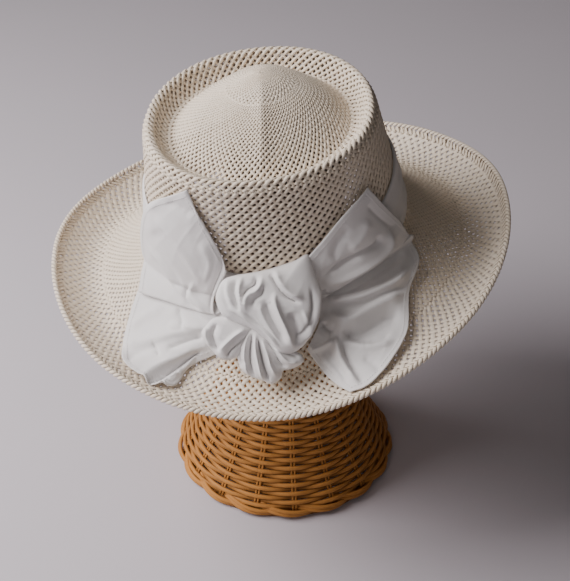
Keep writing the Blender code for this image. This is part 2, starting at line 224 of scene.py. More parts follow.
def hat_raw(angle, station):
    """On the outside of the straw: the brim's edge is station -1, the crown's base 0 and its
    shoulder 1, and from there each ring of the crown's top is one more."""
    angle, station = np.broadcast_arrays(np.asarray(angle, float), np.asarray(station, float))
    out = np.maximum(-station, 0)
    up = np.clip(station, 0, 1)
    rings = smooth_line(TOP_RINGS, np.clip(station - 1, 0, len(TOP_RINGS) - 1))
    across, fall, climb = rings[..., 0], rings[..., 1], rings[..., 2]
    foot = oval(angle, CROWN_HALF_LENGTH, CROWN_HALF_WIDTH)
    edge = oval(
        angle, CROWN_HALF_LENGTH + BRIM_WIDTH_AT_ENDS, CROWN_HALF_WIDTH + BRIM_WIDTH_AT_SIDES
    )
    heading = smooth_line(BRIM_HEADINGS, angle / FULL_TURN * len(BRIM_HEADINGS), closed=True)
    drop = BRIM_FALL * heading[..., 0] * np.sin(math.pi / 2 * np.minimum(1, out / FALL_ENDS))
    raised = np.maximum(0, (out - CURL_STARTS) / (1 - CURL_STARTS))
    brim_z = CURL_RISE * heading[..., 1] * raised**CURL_POWER - drop
    over = TOP_RINGS[0][0]
    shoulder = oval(angle, RIDGE_HALF_LENGTH * over, RIDGE_HALF_WIDTH * over)
    wall_z = up * (RIDGE_HEIGHT - GROOVE_DEPTH * TOP_RINGS[0][1])
    power = blend(OVAL_POWER, DOME_POWER, np.clip(2 * climb, 0, 1))
    top = oval(angle, RIDGE_HALF_LENGTH * across, RIDGE_HALF_WIDTH * across, power)
    top_x = top[0] + DOME_SET_RIGHT * climb
    top_y = top[1] + DOME_SET_BACK * climb
    beside = np.where(top[1] < 0, np.hypot(top[0], CREASE_ROUND), RIDGE_HALF_LENGTH)
    crease = DOME_CREASE * np.exp(-beside / CREASE_WIDTH) * np.clip(6 * climb * (1 - climb), 0, 1)
    peak = DOME_PEAK * np.clip((climb - PEAK_STARTS) / (1 - PEAK_STARTS), 0, 1) ** 1.5
    top_z = RIDGE_HEIGHT - GROOVE_DEPTH * fall + DOME_RISE * climb + crease + peak
    high = station > 1
    x = np.where(high, top_x, blend(foot[0], shoulder[0], up))
    y = np.where(high, top_y, blend(foot[1], shoulder[1], up))
    z = np.where(high, top_z, wall_z)
    share = np.clip(z / RIDGE_HEIGHT, 0, 1)
    tip = math.tan(CROWN_LEAN)
    y, z = y - z * tip, z + y * tip * share**2
    low = station < 0
    x = np.where(low, blend(foot[0], edge[0], out), x)
    y = np.where(low, blend(foot[1], edge[1], out), y)
    z = np.where(low, brim_z, z)
    return np.stack((x, y, z), -1)


def hat_place(angle, station):
    """hat_raw with the corner between crown and brim rounded off."""
    reach = np.maximum(0, CORNER_ROUND - 0.5 * np.abs(station))
    if not np.any(reach > 0):
        return hat_raw(angle, station)
    beside = hat_raw(angle, station - reach) + hat_raw(angle, station + reach)
    return beside / 4 + hat_raw(angle, station) / 2


def hat_normal(angle, station, reach=0.05):
    """Straight out from the straw. reach is how far to each side the direction is taken from."""
    sideways = hat_raw(angle + 0.01, station) - hat_raw(angle - 0.01, station)
    lower = hat_raw(angle, np.maximum(station - reach, PAST_THE_EDGE))
    return unit(np.cross(sideways, hat_raw(angle, station + reach) - lower))


# The cloth follows a smoother outward direction than the straw, taken from further apart
CLOTH_REACH = 0.08


def off_hat(heading, along, distance):
    """A point of the bow: heading in degrees, along as on the wall and brim, metres out."""
    angle = np.radians(heading)
    out = hat_normal(angle, along, CLOTH_REACH)
    return hat_raw(angle, along) + out * np.asarray(distance)[..., None]


def to_world(points):
    return points @ HAT_TURN.T + HAT_ORIGIN


# Meshes


def quad_mesh(name, points, quads):
    mesh = bpy.data.meshes.new(name)
    mesh.vertices.add(len(points))
    mesh.vertices.foreach_set("co", np.ascontiguousarray(points, np.float32).ravel())
    mesh.loops.add(quads.size)
    mesh.loops.foreach_set("vertex_index", np.ascontiguousarray(quads, np.int32).ravel())
    mesh.polygons.add(len(quads))
    mesh.polygons.foreach_set("loop_start", np.arange(0, quads.size, 4, dtype=np.int32))
    mesh.update(calc_edges=True)
    mesh.shade_smooth()
    return mesh


def add_attribute(mesh, name, values):
    layer = mesh.attributes.new(name, "FLOAT", "POINT")
    layer.data.foreach_set("value", np.ascontiguousarray(values, np.float32).ravel())


def add_piece(mesh, finish, nodes):
    """Puts a mesh in the scene as a piece of the hat."""
    made = bpy.data.objects.new(mesh.name, mesh)
    mesh.materials.append(finish)
    bpy.context.scene.collection.objects.link(made)
    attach(made, "root")
    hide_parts(*nodes)
    return made


# A strand's section, anticlockwise seen along it: shares of its width and of its thickness
FLAT_SECTION = ((0.5, 0.0), (0.30, 0.5), (-0.30, 0.5), (-0.5, 0.0), (-0.30, -0.5), (0.30, -0.5))
# Painted shade: how much darker a strand is painted at its sides, and where it lies low
SIDE_SHADE_PAINTED = 0.6
LOW_SHADE_PAINTED = 0.7


def strand_mesh(name, centre, up, width, thick, low, closed=False):
    """Many strands as one mesh. centre and up are (strands, samples, 3); the others broadcast
    to (strands, samples). low is painted shade: 0 on the strands that lie on top and 1 on the
    lowest."""
    strands, samples = centre.shape[:2]
    if closed:
        ahead = np.roll(centre, -1, 1) - np.roll(centre, 1, 1)
    else:
        ahead = np.gradient(centre, axis=1)
    ahead = unit(ahead)
    side = unit(np.cross(up, ahead))
    rise = np.cross(ahead, side)
    section = np.array(FLAT_SECTION)
    sides = len(section)
    width = np.broadcast_to(width, (strands, samples))
    thick = np.broadcast_to(thick, (strands, samples))
    low = np.broadcast_to(low, (strands, samples))
    points = (
        centre[:, :, None]
        + side[:, :, None] * (width[..., None] * section[:, 0])[..., None]
        + rise[:, :, None] * (thick[..., None] * section[:, 1])[..., None]
    )
    index = np.arange(strands * samples * sides).reshape(strands, samples, sides)
    here = index if closed else index[:, :-1]
    after = np.roll(index, -1, 1) if closed else index[:, 1:]
    walls = np.stack((here, np.roll(here, -1, 2), np.roll(after, -1, 2), after), -1)
    quads = [walls.reshape(-1, 4)]
    if not closed:
        for corner in range(1, sides - 1, 2):
            picks = [0, corner, corner + 1, corner + 2]
            quads.append(index[:, -1, picks])
            quads.append(index[:, 0, picks[::-1]])
    mesh = quad_mesh(name, points.reshape(-1, 3), np.concatenate(quads))
    tone = rng.random((strands, 1, 1))
    shape = (strands, samples, sides)
    add_attribute(mesh, "along", np.broadcast_to(lengths(centre, 1)[..., None], shape))
    add_attribute(mesh, "tone", np.broadcast_to(tone, shape))
    add_attribute(mesh, "across", np.broadcast_to(2 * section[:, 0], shape))
    # The attribute low is painted shade, at the strand's sides and where the strand lies low
    painted_side_shade = SIDE_SHADE_PAINTED * (1 - 2 * np.abs(section[:, 1]))
    add_attribute(mesh, "low", np.clip(low[..., None] * LOW_SHADE_PAINTED + painted_side_shade, 0, 1))
    return mesh


def sheet_mesh(name, points, outward, closed=False):
    """A sheet through a grid of points, (rows, columns, 3), that faces outward."""
    rows, columns = points.shape[:2]
    index = np.arange(rows * columns).reshape(rows, columns)
    across = np.roll(index, -1, 1) if closed else index[:, 1:]
    here = index if closed else index[:, :-1]
    quads = np.stack((here[:-1], across[:-1], across[1:], here[1:]), -1).reshape(-1, 4)
    corners = points.reshape(-1, 3)[quads]
    facing = np.cross(corners[:, 1] - corners[:, 0], corners[:, 3] - corners[:, 0])
    if np.sum(facing * outward.reshape(-1, 3)[quads[:, 0]]) < 0:
        quads = quads[:, ::-1]
    mesh = quad_mesh(name, points.reshape(-1, 3), quads)
    cells = mesh.uv_layers.new(name="cloth")
    breadth = lengths(points, 1).mean(0)
    flat = np.stack(np.meshgrid(breadth, lengths(points, 0).mean(1)), -1).reshape(-1, 2)
    cells.data.foreach_set("uv", flat[quads.ravel()].astype(np.float32).ravel())
    return mesh


def thicken(made, thickness, offset):
    """Gives a sheet its thickness."""
    wall = made.modifiers.new("Wall", "SOLIDIFY")
    wall.thickness = thickness
    wall.offset = offset
    wall.use_quality_normals = True
    bpy.context.view_layer.objects.active = made
    bpy.ops.object.modifier_apply(modifier=wall.name)


# The woven straw

CROWN_AROUND = 88
BRIM_AROUND = 156
TIP_AROUND = 42
ROW_SHARE = 0.55
SLANT_SINE = math.sin(math.atan(2 * ROW_SHARE))
GROOVE_STATION = 5.2
TIP_STATION = 8.6
LAST_STATION = 10.86
DOME_OVERLAP = 0.35
TIP_OVERLAP = 0.1
BRIM_SPLIT = -0.55
# Strands aren't quite even: how far they stray, how wide they are, how they bulge in a cell
STRAND_STRAYS = 0.035
WIDTH_VARIES = 0.06
BEADING = 0.13
# Painted shade: a strand is painted darker the lower its slant lies, and where it goes under the
# other slant
LIFT_OF_LIGHT = 2.4 * MM
UNDER_SHADE_PAINTED = 0.3
# How far each slant lies off the wall's middle, then how far each goes over and under
RAISED = ((0.26 * MM, -0.24 * MM), (0.36 * MM, 0.38 * MM))
GENTLE = ((0.12 * MM, -0.12 * MM), (0.30 * MM, 0.30 * MM))
LEVEL = ((0.06 * MM, -0.06 * MM), (0.34 * MM, 0.34 * MM))
CORD = 1.8 * MM
FLAT = 1.3 * MM
STRAW_ZONES = {
    # from and to station, strands of each slant, their width as a share of the room at both
    # stations, their thickness, how they lie
    "straw_crown_wall": (0, 1, CROWN_AROUND, (0.69, 0.73), CORD, RAISED),
    "straw_crown_ridge": (1, GROOVE_STATION, CROWN_AROUND, (0.69, 0.73), CORD, RAISED),
    "straw_dome": (
        GROOVE_STATION - DOME_OVERLAP, TIP_STATION, CROWN_AROUND, (0.71, 1.0), FLAT, GENTLE
    ),
    "straw_dome_tip": (
        TIP_STATION - TIP_OVERLAP, LAST_STATION, TIP_AROUND, (1.0, 1.1), FLAT, LEVEL
    ),
    "straw_brim_inner": (BRIM_SPLIT, 0, BRIM_AROUND, (0.77, 0.85), FLAT, LEVEL),
    "straw_brim_outer": (-1, BRIM_SPLIT, BRIM_AROUND, (0.9, 0.77), FLAT, LEVEL),
}


def weave_rows(first, last, around):
    """The station of each half row of the weave, at rows that keep its cells in proportion."""
    stations = np.linspace(first, last, 321)
    angles = np.linspace(0, FULL_TURN, 65)
    points = hat_place(angles[:, None], stations[None, :])
    girth = lengths(points, 0)[-1]
    climb = np.diff(lengths(points, 1).mean(0))
    cell = ROW_SHARE * (girth[1:] + girth[:-1]) / 2 / around
    rows = np.concatenate(([0], np.cumsum(climb / cell)))
    total = round(rows[-1])
    halves = np.arange(0, total + 0.25, 0.5)
    rows *= total / rows[-1]
    pitch = np.interp(halves, rows, girth) / around
    return halves, np.interp(halves, rows, stations), pitch


def weave_slants(rows, pitch, stations, around, share, lifts, waves):
    """The two slants of a weave: the strands' middle lines and outward directions, how wide
    they are and how much shade is painted on them for how low they lie."""
    made = []
    for slant, lift, wave in zip((1, -1), lifts, waves):
        start = np.arange(around)[:, None] + rng.normal(0, STRAND_STRAYS, (around, 1))
        angle = (start + slant * rows / 2) * FULL_TURN / around
        level = np.broadcast_to(stations, angle.shape)
        up = hat_normal(angle, level)
        over = slant * np.cos(math.pi * rows)
        off = -STRAW_WALL / 2 + lift + wave * over
        centre = hat_place(angle, level) + up * off[None, :, None]
        widths = share * SLANT_SINE * pitch * rng.normal(1, WIDTH_VARIES, (around, 1))
        widths = widths * (1 + BEADING * np.cos(FULL_TURN * rows))
        # Painted shade, deeper where a slant lies low and where it goes under the other
        low = np.clip(0.5 - lift / LIFT_OF_LIGHT - UNDER_SHADE_PAINTED * over, 0, 1)
        made.append((centre, up, widths, low))
    return made


def add_weave(name, first, last, around, share, thick, slants, finish):
    """One zone of the straw."""
    rows, stations, pitch = weave_rows(first, last, around)
    share = np.interp(rows, (rows[0], rows[-1]), share)
    made = weave_slants(rows, pitch, stations, around, share, *slants)
    centre = to_world(np.concatenate([row[0] for row in made]))
    up = np.concatenate([row[1] for row in made]) @ HAT_TURN.T
    widths = np.concatenate([row[2] for row in made])
    low = np.concatenate([np.broadcast_to(row[3], row[2].shape) for row in made])
    mesh = strand_mesh(name, centre, up, widths, thick, low)
    add_piece(mesh, finish, ["hat_body"])


def make_straw(finish):
    for name, zone in STRAW_ZONES.items():
        add_weave(name, *zone, finish)


# The rope that ends the brim

ROPE_LOBES = 262
LOBE_SAMPLES = 8
# A lobe in degrees round the edge, how far along it a lobe leans, in lobes, and how it swells
LOBE_TURN = (-75, 160)
LOBE_LEAN = 1.35
LOBE_SWELL = (0.45, math.pi - 0.35)
LOBE_OFF = 1.25 * MM
LOBE_WIDTH = 3.1 * MM
LOBE_THICK = 1.6 * MM
# The finer strands inside them: how they lean, in lobes, and from which station to which
INNER_SAMPLES = 5
INNER_LEAN = (1.6, 0.45)
INNER_STATIONS = (-1.012, -0.954)
INNER_SINKS = 0.3 * MM
INNER_ARCH = 0.6 * MM
INNER_WIDTH = 2.1 * MM
INNER_THICK = 0.9 * MM


def make_rope(finish):
    """The turned-over edge: thick lobes wound round the brim, and a row of strands inside it."""
    pitch = FULL_TURN / ROPE_LOBES
    start = np.arange(ROPE_LOBES)[:, None] * pitch
    sweep = np.linspace(*LOBE_TURN, LOBE_SAMPLES)[None, :]
    angle = start + LOBE_LEAN * pitch * (sweep - sweep.min()) / np.ptp(sweep)
    edge = hat_raw(angle, -1.0)
    out = unit(edge - hat_raw(angle, -0.92))
    normal = hat_normal(angle, -1.0, 0.04)
    turned = np.radians(sweep)[..., None]
    round_it = out * np.cos(turned) + normal * np.sin(turned)
    centre = to_world(edge + out * (EDGE_ROD + EDGE_CLEAR) + round_it * LOBE_OFF)
    width = LOBE_WIDTH * np.sin(np.linspace(*LOBE_SWELL, LOBE_SAMPLES)) ** 0.6
    up = round_it @ HAT_TURN.T
    lobes = strand_mesh("rope_edge", centre, up, width, LOBE_THICK, low=0.2)
    add_piece(lobes, finish, ["brim_edge"])
    along = np.linspace(0, 1, INNER_SAMPLES)[None, :]
    angle = start + pitch * blend(*INNER_LEAN, along)
    station = blend(*INNER_STATIONS, along)
    normal = hat_normal(angle, station, 0.03)
    lift = INNER_ARCH * np.sin(math.pi * along) - INNER_SINKS
    centre = to_world(hat_raw(angle, station) + normal * lift[..., None])
    up = normal @ HAT_TURN.T
    # The finer strands inside the lobes carry more painted shade than the lobes
    inner = strand_mesh("rope_inner", centre, up, INNER_WIDTH, INNER_THICK, low=0.4)
    add_piece(inner, finish, ["brim_edge"])


# The cotton

CLOTH_WALL = 0.9 * MM
# A fold is rounded at its top, and its slow side reaches further than its steep one
FOLD_ROUND = 0.22
FOLD_FALL = 1.7
FOLD_ENDS = 0.22
SLOW_REACH = 0.6
SLOW_LEAN = 0.9


def fold_relief(pixels, folds):
    """How far folds lift the cloth at each pixel, in metres. A fold is its points in the
    picture, its width in pixels, its height in millimetres and how it falls away: both sides
    alike at 0, or slowly on the left of its direction at 1, or on the right at -1."""
    total = np.zeros(pixels.shape[:-1])
    for points, width, height, slow in folds:
        line = smooth_line(points, np.linspace(0, len(points) - 1, 8 * len(points)))
        starts, ends = line[:-1], line[1:]
        runs = ends - starts
        away = pixels[..., None, :] - starts
        share = np.clip((away * runs).sum(-1) / (runs**2).sum(-1), 0, 1)
        gaps = away - runs * share[..., None]
        distance = np.linalg.norm(gaps, axis=-1)
        nearest = distance.argmin(-1)[..., None]
        gap = np.take_along_axis(distance, nearest, -1)[..., 0]
        cross = runs[:, 0] * away[..., 1] - runs[:, 1] * away[..., 0]
        left = -np.sign(np.take_along_axis(cross, nearest, -1)[..., 0]) * gap / width
        place = (nearest + np.take_along_axis(share, nearest, -1))[..., 0] / len(runs)
        taper = np.clip(np.minimum(place, 1 - place) / FOLD_ENDS, 0, 1)
        reach = width * (1 + abs(slow) * (SLOW_REACH + SLOW_LEAN * np.tanh(slow * left)))
        rounded = np.hypot(gap / reach, FOLD_ROUND) - FOLD_ROUND
        total += height * MM * np.exp(-FOLD_FALL * rounded) * taper**2 * (3 - 2 * taper)
    return total


# Faint creases all over the cloth. Each runs across its direction in the picture, and bends.
WRINKLES = (
    # direction in pixels, how far apart in pixels, phase
    ((1.0, 0.62), 15.0, 0.3),
    ((0.45, -1.0), 21.0, 1.1),
    ((1.0, -0.25), 27.0, 2.3),
)
WRINKLE_HEIGHT = 0.34 * MM


def wrinkle_relief(pixels):
    """How far faint creases lift the cloth at each pixel, in metres."""
    across, down = pixels[..., 0], pixels[..., 1]
    bend = 5.0 * np.sin(across / 17 + 0.4) + 4.0 * np.sin(down / 13 + 1.9)
    total = np.zeros(pixels.shape[:-1])
    for direction, apart, phase in WRINKLES:
        place = (pixels @ unit(np.array(direction)) + bend) / apart + phase
        patchy = 0.5 + 0.5 * np.sin(place * 1.7 + down / 19 - across / 31 + phase)
        total += (1 - np.abs(np.sin(math.pi * place))) ** 2 * patchy
    return WRINKLE_HEIGHT * total


# The wings of the bow

WING_ROWS = 90
WING_COLUMNS_EACH = 13
# How far the cloth is off the straw: what the panels' shares are shares of, and the least
BOW_LIFT = 10 * MM
LEAST_OFF = 0.9 * MM
HEM_WIDTH = 5.0 * MM
HEM_RAISE = 0.22 * MM
HEM_STEP = 0.8 * MM
WING_FOLD_GAIN = 1.5
# Stitches run inside the edge by this share of the hem's width
STITCH_INSIDE = 0.8
STITCH_PITCH = 2.6 * MM
STITCH_LENGTH = 1.7 * MM
STITCH_WIDTH = 0.55 * MM
STITCH_THICK = 0.4 * MM
STITCH_ARCH = (-0.05 * MM, 0.12 * MM, -0.05 * MM)

# Each panel's rows run outwards from the knot, and its columns from upper to lower edge:
# heading in degrees, along the crown's wall (or the brim, if negative), share of BOW_LIFT.
PANELS = {
    "bow_left_upper": (
        ((251, 0.30, 0.62), (248, 0.15, 0.84), (245, -0.02, 0.95), (246, -0.14, 0.60)),
        ((246, 0.56, 0.50), (239, 0.34, 0.94), (233, 0.10, 0.90), (235, -0.14, 0.70)),
        ((239, 0.80, 0.30), (227, 0.49, 0.88), (218, 0.16, 0.85), (223, -0.16, 0.80)),
        ((234, 0.97, 0.13), (210, 0.65, 0.70), (202, 0.19, 1.00), (211, -0.22, 0.90)),
    ),
    "bow_left_lower": (
        ((251, -0.07, 0.30), (250, -0.22, 0.45), (250, -0.28, 0.40), (252, -0.34, 0.18)),
        ((231, -0.09, 0.30), (233, -0.30, 0.66), (237, -0.45, 0.90), (241, -0.55, 0.16)),
        ((219, -0.11, 0.22), (224, -0.39, 0.66), (231, -0.70, 1.00), (240, -0.82, 0.30)),
        ((207, -0.20, 0.25), (214, -0.47, 0.60), (223, -0.86, 0.60), (234, -0.93, 0.45)),
    ),
    "bow_right_upper": (
        ((281, 0.28, 0.56), (285, 0.18, 0.84), (286, 0.03, 0.98), (285, -0.09, 0.96)),
        ((290, 0.42, 0.46), (295, 0.26, 0.87), (297, 0.13, 1.11), (299, -0.03, 1.15)),
        ((304, 0.61, 0.46), (309, 0.39, 0.92), (312, 0.23, 1.39), (315, 0.08, 1.14)),
        ((320, 0.71, 0.42), (327, 0.41, 0.73), (332, 0.19, 0.94), (334, -0.07, 1.18)),
    ),
    "bow_right_lower": (
        ((286, -0.04, 0.35), (286, -0.10, 0.40), (285, -0.17, 0.32),
         (284, -0.23, 0.45), (281, -0.31, 0.35), (278, -0.39, 0.24)),
        ((300, -0.02, 0.39), (299, -0.12, 0.52), (297, -0.23, 0.34),
         (292, -0.36, 0.80), (287, -0.47, 0.40), (281, -0.58, 0.19)),
        ((317, -0.04, 0.45), (314, -0.17, 0.66), (307, -0.34, 0.40),
         (297, -0.59, 0.84), (290, -0.75, 0.45), (284, -0.80, 0.17)),
        ((334, -0.12, 0.48), (328, -0.25, 0.80), (316, -0.38, 0.46),
         (305, -0.72, 0.66), (292, -0.95, 0.30), (286, -0.94, 0.16)),
    ),
}

# Folds: pixels along it, width in pixels, height in millimetres, slow side
PANEL_FOLDS = {
    "bow_left_upper": (
        (((185, 185), (193, 208), (203, 223), (217, 250), (222, 263), (220, 273), (212, 293),
          (210, 307), (213, 317)), 1.5, -1.5, 0),
        (((189, 192), (198, 212), (211, 234), (224, 256), (226, 268), (221, 280), (215, 294),
          (214, 308)), 2.0, 1.5, 0),
        (((152, 212), (168, 233), (188, 260), (203, 285)), 3.2, 1.2, 1),
        (((145, 243), (160, 260), (180, 290), (203, 313), (217, 322)), 2.6, 1.6, 1),
        (((150, 243), (166, 262), (187, 290)), 3.0, -1.0, 0),
        (((190, 284), (186, 293), (190, 302), (203, 312)), 2.0, -1.8, 0),
        (((195, 280), (192, 291), (197, 301), (208, 312)), 3.0, 1.4, 0),
        (((165, 201), (180, 208), (194, 216)), 4.0, -1.3, 0),
        (((158, 196), (152, 215), (156, 236)), 8.0, 1.2, 0),
        (((200, 240), (210, 262), (204, 284)), 6.0, 1.2, 0),
    ),
    "bow_left_lower": (
        (((177, 306), (181, 318), (184, 331)), 2.6, -2.0, 0),
        (((167, 326), (185, 327), (207, 329)), 2.4, 1.8, 0),
        (((120, 347), (143, 343), (177, 333), (204, 330)), 4.5, 2.0, 1),
        (((152, 343), (156, 349), (158, 357)), 2.4, -2.4, 0),
        (((165, 350), (185, 342), (206, 336)), 3.4, -2.4, 0),
        (((136, 381), (152, 372), (166, 364), (184, 356), (208, 344)), 3.0, 2.6, 1),
        (((143, 383), (156, 378), (168, 371), (188, 358), (203, 349)), 3.4, -4.6, 0),
        (((150, 389), (166, 382), (180, 373), (191, 362), (198, 351)), 2.2, 2.4, 0),
        (((128, 330), (146, 316), (166, 308)), 6.0, 1.2, 0),
        (((124, 362), (140, 352), (158, 346)), 5.0, -1.2, 0),
    ),
    "bow_right_upper": (
        (((318, 281), (343, 264), (367, 251), (378, 244), (380, 234)), 4.0, -3.4, 0),
        (((321, 287), (355, 273), (380, 256), (389, 243), (389, 228)), 3.8, 3.4, 0),
        (((322, 293), (341, 291), (367, 278), (387, 264), (405, 252)), 5.0, -7.0, 0),
        (((334, 262), (337, 244), (350, 226)), 5.0, -1.2, 0),
        (((366, 204), (380, 218), (396, 230)), 5.0, -1.2, 0),
        (((348, 250), (362, 236), (369, 218)), 7.0, 1.6, 0),
    ),
    "bow_right_lower": (
        (((328, 300), (350, 300), (372, 293), (394, 283), (412, 268)), 5.0, 4.6, 0),
        (((326, 312), (347, 320), (366, 311), (386, 301), (409, 291)), 5.0, 4.6, -1),
        (((340, 332), (358, 334), (380, 325), (402, 312)), 7.0, -7.5, 0),
        (((322, 322), (328, 329), (334, 332)), 4.0, -3.6, 0),
        (((336, 335), (340, 355), (349, 373), (361, 388)), 2.6, 4.6, -1),
        (((342, 341), (347, 358), (358, 376)), 2.6, -1.6, 0),
        (((342, 342), (370, 347), (396, 341)), 3.2, 2.2, 0),
        (((345, 336), (370, 340), (394, 334)), 3.2, -2.0, 0),
        (((310, 352), (322, 347), (335, 340)), 2.4, 2.4, 0),
        (((320, 355), (334, 371), (346, 386)), 2.6, 1.8, 0),
        (((362, 356), (374, 364), (380, 374)), 4.0, -1.4, 0),
    ),
}


def wing_points(names):
    """The sheet of one wing of the bow: its two panels as one cloth, pleated where they meet.
    Returns its points, the straw's outward direction there, and how far each point is from
    the upper edge and from the inner end."""
    table = np.concatenate([np.array(PANELS[name], float) for name in names], 1)
    rows, columns = table.shape[:2]
    across = np.linspace(0, columns - 1, WING_COLUMNS_EACH * (columns - 1) + 1)
    lines = smooth_line(table, np.linspace(0, rows - 1, WING_ROWS + 1))
    grid = np.moveaxis(smooth_line(np.moveaxis(lines, 1, 0), across), 0, 1)
    heading, along, off = grid[..., 0], grid[..., 1], grid[..., 2] * BOW_LIFT
    plain = to_world(off_hat(heading, along, off))
    seen = in_picture(plain)
    folds = [fold for name in names for fold in PANEL_FOLDS[name]]
    upper, inner = lengths(plain, 1), lengths(plain, 0)
    inside = np.minimum(np.minimum(upper, upper[:, -1:] - upper), inner[-1:] - inner)
    hem = np.clip((HEM_WIDTH - inside) / HEM_STEP, 0, 1) * HEM_RAISE
    relief = WING_FOLD_GAIN * fold_relief(seen, folds) + wrinkle_relief(seen)
    off = np.maximum(off + relief + hem, LEAST_OFF)
    outward = hat_normal(np.radians(heading), along, CLOTH_REACH) @ HAT_TURN.T
    return to_world(off_hat(heading, along, off)), outward, (upper, inner)


def declare_sheet(points, closed=False):
    """Works out what the sheet was cut to, its lengths along the cloth with folds opened out, and
    keeps neither.
    """
    breadth, length = lengths(points, 1)[:, -1], lengths(points, 0)[-1]
    if closed:
        breadth = breadth + np.linalg.norm(points[:, -1] - points[:, 0], axis=-1)


def inside_edge(grid, gaps, depth):
    """The values of a grid that lie depth inside its first column's edge, row by row."""
    found = []
    for line, gap in zip(grid, gaps):
        found.append([np.interp(depth, gap, line[:, axis]) for axis in range(3)])
    return np.array(found)


def hem_lines(grid, upper, inner, depth):
    """A wing's values along three lines depth inside its upper, lower and outer edges."""
    lower = upper[:, -1:] - upper
    outer = inner[-1:] - inner
    return (
        inside_edge(grid, upper, depth),
        inside_edge(grid[:, ::-1], lower[:, ::-1], depth),
        inside_edge(grid[::-1].swapaxes(0, 1), outer[::-1].T, depth),
    )


def make_stitches(name, hems, finish, replaced):
    """Rows of short stitches on the hems, each given as its line and its outward direction."""
    centres = []
    ups = []
    rise = CLOTH_WALL / 2 + np.array(STITCH_ARCH)[:, None]
    for line, outward in hems:
        length = lengths(line, 0)
        starts = np.arange(STITCH_PITCH, length[-1] - STITCH_PITCH, STITCH_PITCH)
        place = starts[:, None] + STITCH_LENGTH * np.linspace(0, 1, len(STITCH_ARCH))
        at = np.stack([np.interp(place, length, line[:, axis]) for axis in range(3)], -1)
        up = np.stack([np.interp(place, length, outward[:, axis]) for axis in range(3)], -1)
        centres.append(at + up * rise)
        ups.append(up)
    centre, up = np.concatenate(centres), np.concatenate(ups)
    mesh = strand_mesh(name, centre, up, STITCH_WIDTH, STITCH_THICK, low=0)
    add_piece(mesh, finish, replaced)


def make_wings(finish):
    for side in ("left", "right"):
        names = [f"bow_{side}_upper", f"bow_{side}_lower"]
        points, outward, edges = wing_points(names)
        mesh = sheet_mesh(f"bow_{side}_cloth", points, outward)
        piece = add_piece(mesh, finish, names)
        thicken(piece, CLOTH_WALL, 0)
        declare_sheet(points)
        depth = STITCH_INSIDE * HEM_WIDTH
        lines = hem_lines(points, *edges, depth)
        hems = list(zip(lines, hem_lines(outward, *edges, depth)))
        make_stitches(f"bow_{side}_stitches", hems, finish, names)


# The knot

